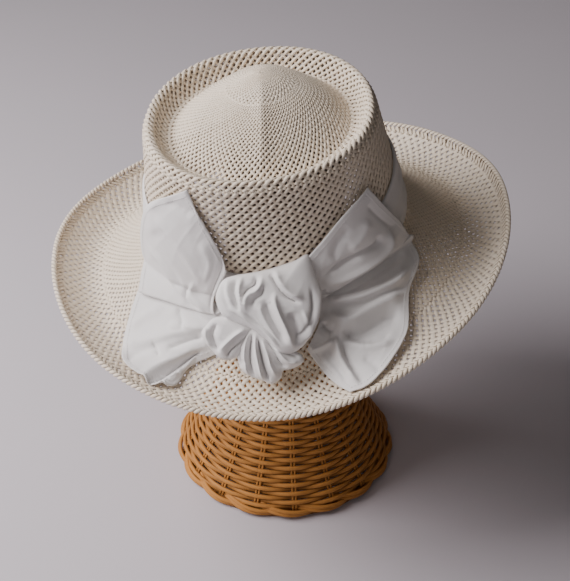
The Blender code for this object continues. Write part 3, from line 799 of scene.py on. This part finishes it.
# Its cloths, each as its outline in the picture from the left round its top, its
# middle, how far it is raised from the knot's own plane, how far it swells, and its folds.
KNOT_CLOTHS = {
    "knot_loop": (
        ((202, 335), (206, 326), (214, 318), (226, 317), (240, 320), (254, 326), (250, 336),
         (243, 345), (240, 354), (232, 359), (222, 359), (213, 351)),
        (227, 338),
        -1.0,
        9.0,
        (
            (((219, 322), (214, 332), (216, 343), (222, 353)), 3.6, -2.6, 0),
            (((248, 328), (236, 336), (226, 345), (218, 353)), 3.2, 2.2, 1),
            (((249, 335), (240, 342), (231, 351), (228, 358)), 2.2, -2.0, 0),
            (((208, 326), (207, 336), (213, 348)), 2.6, 1.2, 0),
        ),
    ),
    "knot_pleats": (
        ((236, 346), (243, 335), (253, 327), (264, 334), (276, 344), (290, 349), (301, 354),
         (303, 362), (294, 368), (283, 371), (281, 378), (272, 384), (262, 380), (252, 377),
         (243, 371), (237, 360)),
        (263, 354),
        0.0,
        8.0,
        (
            (((247, 331), (241, 343), (239, 356), (242, 368)), 2.6, -2.0, 0),
            (((250, 331), (246, 347), (246, 362), (250, 376)), 1.8, 2.0, 0),
            (((253, 332), (251, 347), (251, 362), (255, 376)), 2.0, -3.0, 0),
            (((256, 333), (257, 350), (260, 366), (264, 381)), 2.0, 2.4, 0),
            (((258, 335), (261, 352), (265, 368), (271, 383)), 2.0, -3.2, 0),
            (((262, 338), (268, 352), (272, 366), (278, 378)), 2.4, 1.8, 0),
            (((265, 339), (275, 352), (281, 363), (289, 368)), 2.2, -2.6, 0),
            (((271, 342), (282, 355), (290, 362), (299, 362)), 2.0, 1.8, 0),
            (((278, 346), (290, 354), (301, 357)), 2.2, -1.8, 0),
            (((243, 358), (249, 368), (258, 379)), 1.8, -1.4, 0),
        ),
    ),
    "knot_wrap": (
        ((216, 299), (219, 287), (225, 279), (237, 275), (250, 273), (265, 270), (281, 266),
         (296, 260), (309, 255), (316, 279), (320, 299), (319, 316), (313, 331), (304, 345),
         (292, 353), (280, 352), (267, 340), (252, 329), (236, 322), (222, 314)),
        (272, 303),
        3.0,
        13.0,
        (
            (((274, 267), (280, 280), (287, 289), (296, 296), (306, 299)), 2.4, 2.6, 1),
            (((270, 270), (276, 283), (283, 293), (293, 300), (304, 303)), 1.8, -3.0, 0),
            (((275, 291), (277, 303), (281, 314), (286, 325), (291, 337), (295, 350)),
             2.4, 2.8, -1),
            (((291, 311), (295, 322), (299, 333), (299, 345)), 4.6, -3.6, 0),
            (((303, 309), (308, 320), (309, 331), (304, 341)), 2.2, 1.4, 0),
            (((312, 264), (318, 284), (319, 302), (316, 319), (309, 333), (298, 347)), 2.2, 1.4, 0),
            (((311, 285), (314, 302), (312, 318), (305, 333), (297, 344)), 1.8, -2.4, 0),
            (((266, 298), (270, 312), (278, 328), (288, 345)), 4.6, -2.4, 0),
            (((262, 302), (264, 314), (272, 329), (284, 347)), 2.0, 1.4, -1),
            (((236, 309), (251, 321), (267, 332), (282, 349)), 2.0, 1.6, 0),
            (((243, 310), (257, 321), (271, 332), (284, 348)), 1.5, -1.6, 0),
            (((227, 309), (243, 319), (260, 330), (279, 350)), 1.5, -1.4, 0),
            (((263, 272), (262, 284), (257, 291), (249, 295), (246, 304), (247, 315)), 1.9, 2.2, 1),
            (((266, 284), (263, 294), (256, 300), (253, 309)), 2.2, -1.8, 0),
            (((256, 274), (256, 284), (248, 290), (243, 297)), 2.0, -2.6, 0),
            (((244, 275), (241, 289), (242, 301), (243, 313)), 1.8, 2.0, 0),
            (((238, 276), (235, 290), (238, 303), (241, 312)), 2.0, -1.8, 0),
            (((231, 278), (229, 292), (235, 307)), 2.8, 1.4, 0),
            (((224, 284), (225, 297), (232, 310)), 2.0, -1.2, 0),
        ),
    ),
}
# Its middle: heading in degrees and how far out on the brim, then its height off the straw
KNOT_PLACE = (267, -0.11)
KNOT_RAISE = 19.53 * MM
BOW_FACES_UP = math.radians(45)
KNOT_COLUMNS = 150
KNOT_FLATNESS = 0.6
KNOT_REACHES = 146
# A knot's rows, in degrees from its middle: evenly across its face, then round its edge
KNOT_ROWS = (
    *np.degrees(np.arcsin(np.linspace(0.005, 0.9, 31))),
    *np.linspace(68, KNOT_REACHES, 17),
)
KNOT_BACK = 12.0
KNOT_SIZE = 30 * MM
KNOT_FOLD_GAIN = 1.5
KNOT_WRINKLES = 0.5
KNOT_EDGE_LEANS = 0.3


def make_knot(finish):
    """Each cloth of the knot is a swollen sheet whose edge is tucked in behind it."""
    middle = to_world(off_hat(*KNOT_PLACE, np.array(KNOT_RAISE)))
    facing = HAT_TURN @ np.array((0, -math.sin(BOW_FACES_UP), math.cos(BOW_FACES_UP)))
    for name, (outline, centre, raised, swell, folds) in KNOT_CLOTHS.items():
        turn = np.linspace(0, len(outline), KNOT_COLUMNS, endpoint=False)
        rim = smooth_line(outline, turn, closed=True)
        angle = np.radians(KNOT_ROWS)[:, None]
        reach = np.sin(angle)[..., None]
        pixels = centre + (rim[None] - centre) * reach
        base = middle + facing * raised * MM
        flat = on_plane(pixels, base, facing)
        heart = on_plane(np.array(centre, float), base, facing)
        fullness = np.maximum(np.cos(angle), 0) ** KNOT_FLATNESS
        depth = (swell * fullness + KNOT_BACK * np.minimum(np.cos(angle), 0)) * MM
        outward = unit((flat - heart) / KNOT_SIZE * reach + facing * np.cos(angle)[..., None])
        relief = KNOT_FOLD_GAIN * fold_relief(pixels, folds)
        relief = relief + KNOT_WRINKLES * wrinkle_relief(pixels)
        relief = relief * np.clip(1 + 2 * np.cos(angle), 0, 1)
        upright = np.maximum(np.cos(angle), KNOT_EDGE_LEANS)[..., None]
        lift = unit((flat - heart) / KNOT_SIZE * reach**6 + facing * upright)
        points = flat + facing * depth[..., None] + lift * relief[..., None]
        mesh = sheet_mesh(name, points, outward, closed=True)
        replaced = "bow_pleats" if name == "knot_pleats" else "bow_knot"
        piece = add_piece(mesh, finish, [replaced])
        thicken(piece, CLOTH_WALL, -1)
        declare_sheet(points, closed=True)


# The band

# Where it starts on the crown's wall, its height behind and in front, and how much
# the knot pulls it down
BAND_FROM = 0.03
BAND_HEIGHT = 0.055
BAND_FRONT_HEIGHT = 0.031
BAND_PULLED_AT = math.radians(254)
BAND_PULL_WIDTH = math.radians(17)
BAND_PULL = 11 * MM
BAND_COLUMNS = 264
BAND_ROWS = 19
BAND_OFF = 0.6 * MM
BAND_FOLDS = 2.6
BAND_FOLD_HEIGHT = 1.3 * MM
BAND_FINE_FOLDS = 5.3
BAND_FINE_HEIGHT = 0.5 * MM
BAND_FLAT_EDGE = 0.14


def make_band(finish):
    """The band round the crown's foot, with soft folds that run round it."""
    angle = np.linspace(0, FULL_TURN, BAND_COLUMNS, endpoint=False)[None, :]
    share = np.linspace(0, 1, BAND_ROWS)[:, None]
    front = 0.5 - 0.5 * np.sin(angle)
    height = blend(BAND_HEIGHT, BAND_FRONT_HEIGHT, front**3)
    pulled = np.angle(np.exp(1j * (angle - BAND_PULLED_AT))) / BAND_PULL_WIDTH
    height = height - BAND_PULL * np.exp(-(pulled**2))
    wall = RIDGE_HEIGHT - GROOVE_DEPTH * TOP_RINGS[0][1]
    station = blend(BAND_FROM, height / wall, share)
    drift = 0.22 * np.sin(2 * angle + 0.6) + 0.12 * np.sin(5 * angle)
    wide = np.sin(math.pi * (BAND_FOLDS * share + drift)) ** 2
    fine = np.sin(math.pi * (BAND_FINE_FOLDS * share - 1.7 * drift + 0.2)) ** 2
    edges = np.clip(np.minimum(share, 1 - share) / BAND_FLAT_EDGE, 0, 1)
    off = BAND_OFF + (BAND_FOLD_HEIGHT * wide + BAND_FINE_HEIGHT * fine) * edges
    out = hat_normal(angle, station)
    points = to_world(hat_raw(angle, station) + out * off[..., None])
    mesh = sheet_mesh("band_cloth", points, out @ HAT_TURN.T, closed=True)
    piece = add_piece(mesh, finish, ["hat_band"])
    thicken(piece, CLOTH_WALL, 1)
    declare_sheet(points, closed=True)


# The wicker stand

STAKES = 17
STAND_FOOT_RADIUS = 0.0942
STAND_OUTLINE = (
    # radius as a share of STAND_FOOT_RADIUS, height as a share of the stand's
    (0.955, 0.022),
    (0.94, 0.0315),
    (0.87, 0.062),
    (0.775, 0.105),
    (0.67, 0.165),
    (0.58, 0.235),
    (0.52, 0.32),
    (0.49, 0.45),
    (0.48, 0.62),
    (0.48, 0.77),
    (0.46, 0.85),
    (0.37, 0.92),
    (0.25, 0.965),
    (0.12, 0.992),
)
# How far the weaver swings in and out round the stakes, at the foot and at the top
WEAVER_SWINGS = (2.0 * MM, 1.5 * MM)
WEAVER_PITCH = 3.7 * MM
WEAVER_WIDTH = 1.1 * WEAVER_PITCH
WEAVER_THICK = 2.9 * MM
WEAVER_SAMPLES = 3.5
# The two stakes of a pair are this far from its middle, and end this far before the top
STAKE_BESIDE = 1.3 * MM
STAKE_ENDS = 12 * MM
STAKE_THICK = 2.3 * MM
STAKE_SAMPLES = 60
# From the first to the second share of its outline, the upper half of the stand draws in
DRAWN_IN = 1.0 * MM
DRAWN_IN_FROM = (0.5, 0.62)


def stand_line():
    """The stand's outline as close points (radius, height), and how far along it each is."""
    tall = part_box("stand")[1].z
    dense = smooth_line(STAND_OUTLINE, np.linspace(0, len(STAND_OUTLINE) - 1, 600))
    dense = dense * np.array((STAND_FOOT_RADIUS, tall))
    return dense, lengths(dense, 0)


def round_stand(angle, radius, height):
    """Points or directions turned round the stand's middle line."""
    turned = np.broadcast_arrays(radius * np.cos(angle), radius * np.sin(angle), height)
    return np.stack(turned, -1)


def stand_place(angle, reach, line):
    """A point of the stand's wall and its outward direction, reach metres up its outline."""
    dense, length = line
    radius = np.interp(reach, length, dense[:, 0])
    height = np.interp(reach, length, dense[:, 1])
    step = 2 * MM
    grow = np.interp(reach + step, length, dense[:, 0]) - radius
    rise = np.interp(reach + step, length, dense[:, 1]) - height
    size = np.maximum(np.hypot(grow, rise), 1e-9)
    out = round_stand(angle, rise / size, -grow / size)
    inwards = np.interp(reach / length[-1], DRAWN_IN_FROM, (0, DRAWN_IN))
    return round_stand(angle, radius, height) + AXIS - out * inwards[..., None], out


def make_stand(finish):
    """One long weaver that winds up the stand, round pairs of upright stakes."""
    line = stand_line()
    total = line[1][-1]
    turns = total / WEAVER_PITCH
    turn = np.linspace(0, turns, int(turns * STAKES * WEAVER_SAMPLES))
    angle, reach = turn * FULL_TURN, turn * WEAVER_PITCH
    point, out = stand_place(angle, reach, line)
    swing = np.cos(STAKES * angle / 2)
    off = np.interp(reach, (0, total), WEAVER_SWINGS) * swing
    centre = (point + out * off[:, None])[None]
    # Shade is painted on the weaver where it swings in behind the stakes
    low = (0.45 - 0.45 * swing)[None]
    mesh = strand_mesh("stand_weavers", centre, out[None], WEAVER_WIDTH, WEAVER_THICK, low)
    add_piece(mesh, finish, ["stand"])
    angle = np.repeat(np.arange(STAKES), 2)[:, None] * FULL_TURN / STAKES
    beside = np.tile((-STAKE_BESIDE, STAKE_BESIDE), STAKES)[:, None, None]
    reach = np.tile(np.linspace(0, total - STAKE_ENDS, STAKE_SAMPLES), (2 * STAKES, 1))
    point, out = stand_place(angle, reach, line)
    centre = point + round_stand(angle + math.pi / 2, 1, 0) * beside
    # The stakes carry an even share of painted shade
    mesh = strand_mesh("stand_stakes", centre, out, STAKE_THICK, STAKE_THICK, low=0.35)
    add_piece(mesh, finish, ["stand"])


# The border at its foot

# Each strand runs past this many stakes; the upper one of a pair starts later and runs further
BORDER_RUN = 1.75
UPPER_STARTS = 0.02
UPPER_RUNS = 0.1
BORDER_SAMPLES = 22
BORDER_WIDTH = 3.9 * MM
BORDER_THICK = 2.9 * MM
BORDER_TILT = math.radians(38)
# Heights: where a strand rests, how far it falls to there, how far the upper one is above,
# and the share that it dips as it bulges outwards
BORDER_REST = 1.9 * MM
BORDER_FALL = 7.0 * MM
UPPER_ABOVE = 2.5 * MM
BORDER_DIP = 0.12
# Distances inside the foot's radius: at the start, less at the bulge, more at the end
BORDER_INSIDE = 7.6 * MM
BORDER_BULGE = 7.2 * MM
BORDER_END = 1.6 * MM
UPPER_INSIDE = 0.4 * MM
# The two plain rings that fill the plait from inside and carry the stand on the floor
CORE_INSIDE = (5.0 * MM, 8.6 * MM)
CORE_HEIGHTS = (1.9 * MM, 2.0 * MM)
CORE_SAMPLES = 136
CORE_WAVES = 0.3 * MM
CORE_WIDTH = 4.2 * MM
CORE_THICK = 3.6 * MM


def make_border(finish):
    """The stakes bent down in pairs and woven along the foot, each behind the next two."""
    stake = FULL_TURN / STAKES
    share = np.linspace(0, 1, BORDER_SAMPLES)[None, :]
    which = np.arange(2 * STAKES)[:, None]
    upper = which % 2
    start = which // 2 * stake + UPPER_STARTS * upper
    angle = start + share * (BORDER_RUN + UPPER_RUNS * upper) * stake
    arch = np.sin(math.pi * np.clip(share * 1.06, 0, 1))
    height = BORDER_REST + UPPER_ABOVE * upper + BORDER_FALL * (1 - share**1.25)
    height = height * (1 - BORDER_DIP * arch)
    inside = BORDER_INSIDE - BORDER_BULGE * arch + BORDER_END * share**6 + UPPER_INSIDE * upper
    centre = round_stand(angle, STAND_FOOT_RADIUS - inside, height) + AXIS
    out = round_stand(angle, math.cos(BORDER_TILT), math.sin(BORDER_TILT))
    mesh = strand_mesh("border_plait", centre, out, BORDER_WIDTH, BORDER_THICK, low=0.1)
    add_piece(mesh, finish, ["stand_border"])
    angle = np.linspace(0, FULL_TURN, CORE_SAMPLES, endpoint=False)[None, :]
    radius = STAND_FOOT_RADIUS - np.array(CORE_INSIDE)[:, None]
    radius = radius + CORE_WAVES * np.cos(STAKES * angle)
    centre = round_stand(angle, radius, np.array(CORE_HEIGHTS)[:, None]) + AXIS
    up = np.broadcast_to((0.0, 0.0, 1.0), centre.shape)
    # The core rings, inside the plait, carry more painted shade than the plait
    mesh = strand_mesh(
        "border_core", centre, up, CORE_WIDTH, CORE_THICK, low=0.6, closed=True
    )
    add_piece(mesh, finish, ["stand_border"])


# Finishes


class Value:
    """A number worked out by a material's nodes, so that shader maths reads as plain sums."""

    def __init__(self, finish, socket):
        self.finish = finish
        self.socket = socket

    def maths(self, operation, *values):
        inputs = dict(enumerate(values))
        return self.finish.add("ShaderNodeMath", {"operation": operation}, inputs)

    def __add__(self, other):
        return self.maths("ADD", self, other)

    def __sub__(self, other):
        return self.maths("SUBTRACT", self, other)

    def __rsub__(self, other):
        return self.maths("SUBTRACT", other, self)

    def __mul__(self, other):
        return self.maths("MULTIPLY", self, other)

    __radd__ = __add__
    __rmul__ = __mul__


class Finish:
    """One procedural material. add makes any node: its settings first, then its sockets."""

    def __init__(self, name):
        self.material = bpy.data.materials.new(name)
        self.material.use_nodes = True
        self.nodes = self.material.node_tree.nodes
        self.links = self.material.node_tree.links
        self.shader = self.nodes["Principled BSDF"]

    def feed(self, socket, value):
        if isinstance(value, Value):
            self.links.new(value.socket, socket)
        else:
            socket.default_value = value

    def add(self, kind, settings, inputs, output=0):
        node = self.nodes.new(kind)
        for name, value in settings.items():
            setattr(node, name, value)
        for key, value in inputs.items():
            self.feed(node.inputs[key], value)
        return Value(self, node.outputs[output])

    def attribute(self, name):
        return self.add("ShaderNodeAttribute", {"attribute_name": name}, {}, "Fac")

    def noise(self, vector, scale, detail=2.0):
        inputs = {"Vector": vector, "Scale": scale, "Detail": detail}
        return self.add("ShaderNodeTexNoise", {}, inputs)

    def mix(self, factor, first, second):
        settings = {"data_type": "RGBA"}
        return self.add("ShaderNodeMix", settings, {0: factor, 6: first, 7: second}, 2)

    def end(self, colour, roughness, bump, distance):
        height = {"Strength": 1.0, "Distance": distance, "Height": bump}
        self.feed(self.shader.inputs["Base Color"], colour)
        self.feed(self.shader.inputs["Roughness"], roughness)
        normal = self.add("ShaderNodeBump", {}, height)
        self.feed(self.shader.inputs["Normal"], normal)
        return self.material


def rgba(red, green, blue):
    return (red, green, blue, 1)


def strand_fibres(finish, length_scale, across_scale):
    """Fine streaks that run along each strand."""
    tone = finish.attribute("tone")
    spot = {
        0: finish.attribute("along") * length_scale + tone * 31.0,
        1: finish.attribute("across") * across_scale,
        2: tone * 57.0,
    }
    vector = finish.add("ShaderNodeCombineXYZ", {}, spot)
    return finish.noise(vector, 1.0, 3.0)


def straw_finish():
    """Ivory paper straw: cream, with shade painted into its crevices, and a soft sheen."""
    made = Finish("ivory_straw")
    tone = made.attribute("tone")
    low = made.attribute("low")
    place = made.add("ShaderNodeTexCoord", {}, {}, "Object")
    fibre = strand_fibres(made, 160, 2.2)
    patch = made.noise(place, 26.0)
    light = rgba(0.86, 0.768, 0.65)
    warm = rgba(0.76, 0.628, 0.468)
    painted_crevice_shade = rgba(0.17, 0.115, 0.065)
    colour = made.mix(tone * 0.32 + fibre * 0.30 + patch * 0.25 - 0.12, light, warm)
    # Painted shade in the crevices: at the strands' sides and where they lie low
    colour = made.mix((low - 0.3) * 1.1, colour, painted_crevice_shade)
    return made.end(colour, 0.52 + fibre * 0.2, fibre, 0.18 * MM)


def cotton_finish():
    """White cotton with a fine plain weave."""
    made = Finish("white_cotton_cloth")
    cloth = made.add("ShaderNodeUVMap", {"uv_map": "cloth"}, {})
    place = made.add("ShaderNodeTexCoord", {}, {}, "Object")
    threads = []
    for direction in ("X", "Y"):
        settings = {"wave_type": "BANDS", "bands_direction": direction}
        inputs = {"Vector": cloth, "Scale": 700.0, "Distortion": 1.2, "Detail": 1.0}
        threads.append(made.add("ShaderNodeTexWave", settings, inputs))
    weave = threads[0] * 0.5 + threads[1] * 0.5
    slub = made.noise(cloth, 240.0, 3.0)
    patch = made.noise(place, 30.0)
    pale = rgba(0.775, 0.752, 0.75)
    white = rgba(0.865, 0.845, 0.84)
    colour = made.mix(weave * 0.4 + slub * 0.3 + patch * 0.3, pale, white)
    made.shader.inputs["Sheen Weight"].default_value = 0.15
    return made.end(colour, 0.82 + slub * 0.1, weave + slub * 0.6, 0.07 * MM)


# From the first height up, over the second, shade from the brim is painted on the cane of the neck
CANE_SHADE_FROM = 0.12
CANE_SHADE_OVER = 0.1


def cane_finish():
    """Honey-coloured peeled cane, varnished, with shade painted into its crevices and on its neck
    under the brim.
    """
    made = Finish("honey_cane_varnished")
    tone = made.attribute("tone")
    low = made.attribute("low")
    place = made.add("ShaderNodeTexCoord", {}, {}, "Object")
    fibre = strand_fibres(made, 55, 3.0)
    patch = made.noise(place, 38.0)
    light = rgba(0.63, 0.285, 0.07)
    dark = rgba(0.33, 0.128, 0.027)
    painted_crevice_shade = rgba(0.07, 0.026, 0.007)
    painted_neck_shade = rgba(0.075, 0.045, 0.03)
    colour = made.mix(fibre * 0.55 + patch * 0.5 + tone * 0.1 - 0.2, light, dark)
    # Painted shade in the crevices
    colour = made.mix((low - 0.2) * 1.05, colour, painted_crevice_shade)
    height = made.add("ShaderNodeSeparateXYZ", {}, {"Vector": place}, "Z")
    # Painted shade under the brim, darker towards the top of the neck
    colour = made.mix((height - CANE_SHADE_FROM) * (1 / CANE_SHADE_OVER), colour, painted_neck_shade)
    made.shader.inputs["Coat Roughness"].default_value = 0.4
    made.shader.inputs["Coat Weight"].default_value = 0.04
    made.shader.inputs["Specular IOR Level"].default_value = 0.25
    return made.end(colour, 0.48 + fibre * 0.2, fibre, 0.22 * MM)


def floor_finish():
    made = Finish("pale_floor")
    place = made.add("ShaderNodeTexCoord", {}, {}, "Object")
    patch = made.noise(place, 3.0)
    colour = made.mix(patch, rgba(0.60, 0.56, 0.61), rgba(0.64, 0.60, 0.65))
    return made.end(colour, 0.9, patch, 0.1 * MM)


# The studio

LIGHTS_AIM_AT = Vector((0, 0, 0.25))


def add_light(name, place, size, power, colour):
    data = bpy.data.lights.new(name, "AREA")
    data.size = size
    data.energy = power
    data.color = colour
    made = bpy.data.objects.new(name, data)
    made.location = place
    aim = LIGHTS_AIM_AT - Vector(place)
    made.rotation_euler = aim.to_track_quat("-Z", "Y").to_euler()
    bpy.context.scene.collection.objects.link(made)


def add_studio():
    bpy.ops.object.select_all(action="DESELECT")
    bpy.ops.mesh.primitive_plane_add(size=6, location=(0, 0, 0))
    floor = bpy.context.active_object
    floor.name = "floor"
    floor.data.materials.append(floor_finish())
    world = bpy.data.worlds.new("studio")
    world.use_nodes = True
    background = world.node_tree.nodes["Background"]
    background.inputs["Color"].default_value = (1.0, 0.92, 0.87, 1)
    background.inputs["Strength"].default_value = 0.06
    bpy.context.scene.world = world
    add_light("key", (-0.95, -0.1, 1.0), 0.95, 30, (1.0, 0.955, 0.95))
    add_light("fill", (-0.45, -1.7, 1.0), 1.4, 3.3, (1.0, 0.95, 0.94))


add_camera()
straw = straw_finish()
cotton = cotton_finish()
cane = cane_finish()
make_straw(straw)
make_rope(straw)
make_band(cotton)
make_wings(cotton)
make_knot(cotton)
make_stand(cane)
make_border(cane)
add_studio()
